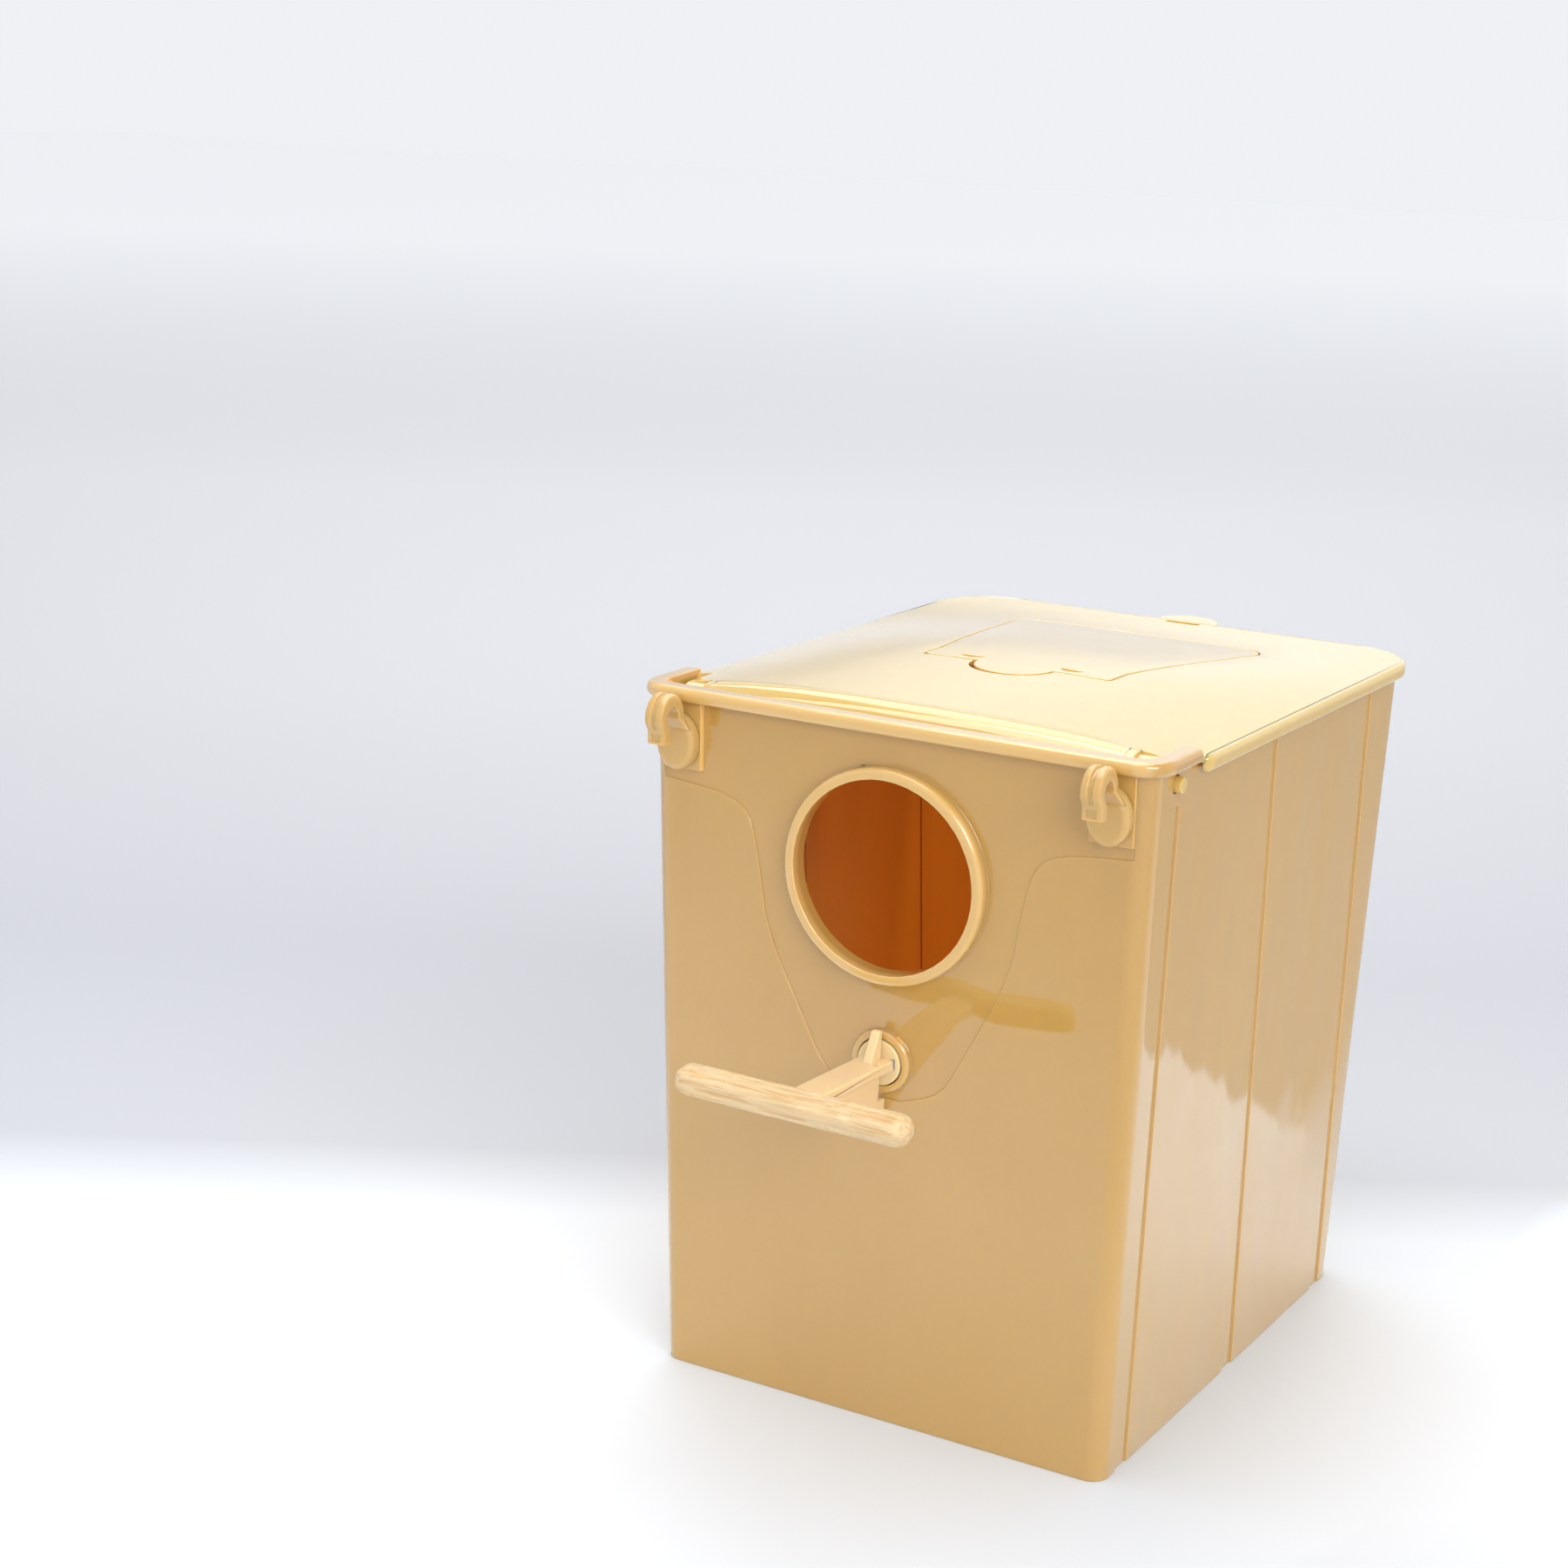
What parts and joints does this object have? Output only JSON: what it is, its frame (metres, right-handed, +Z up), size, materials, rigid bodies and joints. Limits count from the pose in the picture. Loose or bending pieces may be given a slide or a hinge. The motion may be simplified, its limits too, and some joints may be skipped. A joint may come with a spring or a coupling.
{
  "type": "finch nest box",
  "caption": "Moulded nest box for a cage: tapered tub with a round entrance, lid on moulded pins, inspection flap over a grille, bayonet perch and swivelling hooks.",
  "frame": {"origin": "middle of the underside of the floor", "axes": "+Z up, the round entrance faces -Y, +X to the right seen from the front"},
  "size_m": [0.136, 0.2202, 0.1775],
  "materials": {
    "tub": "glossy moulded, slightly translucent",
    "lid": "glossy moulded, slightly translucent",
    "flap": "glossy moulded, slightly translucent",
    "perch": "moulded bark texture, semi-gloss",
    "hook": "glossy moulded"
  },
  "bodies": {
    "tub": {"tub": "tub"},
    "lid": {"lid": "lid"},
    "flap": {"flap": "flap"},
    "perch": {"perch": "perch"},
    "hook_left": {"hook_left": "hook"},
    "hook_right": {"hook_right": "hook"}
  },
  "joints": [
    {"name": "lid_hinge", "type": "hinge", "parent": "tub", "child": "lid", "pos_m": [0, -0.07085, 0.1678], "axis": [1, 0, 0], "range_deg": [0, 90]},
    {"name": "flap_hinge", "type": "hinge", "parent": "lid", "child": "flap", "pos_m": [0, -0.0156, 0.17449], "axis": [1, 0, 0], "range_deg": [0, 105]},
    {"name": "perch_twist", "type": "hinge", "parent": "tub", "child": "perch", "pos_m": [0, -0.08041, 0.0928], "axis": [0, -0.9993, -0.0367], "range_deg": [0, 90]},
    {"name": "hook_left_swivel", "type": "hinge", "parent": "tub", "child": "hook_left", "pos_m": [-0.0557, -0.08296, 0.1621], "axis": [0, -0.9993, -0.0367], "range_deg": [-90, 90]},
    {"name": "hook_right_swivel", "type": "hinge", "parent": "tub", "child": "hook_right", "pos_m": [0.0557, -0.08296, 0.1621], "axis": [0, -0.9993, -0.0367], "range_deg": [-90, 90]}
  ]
}
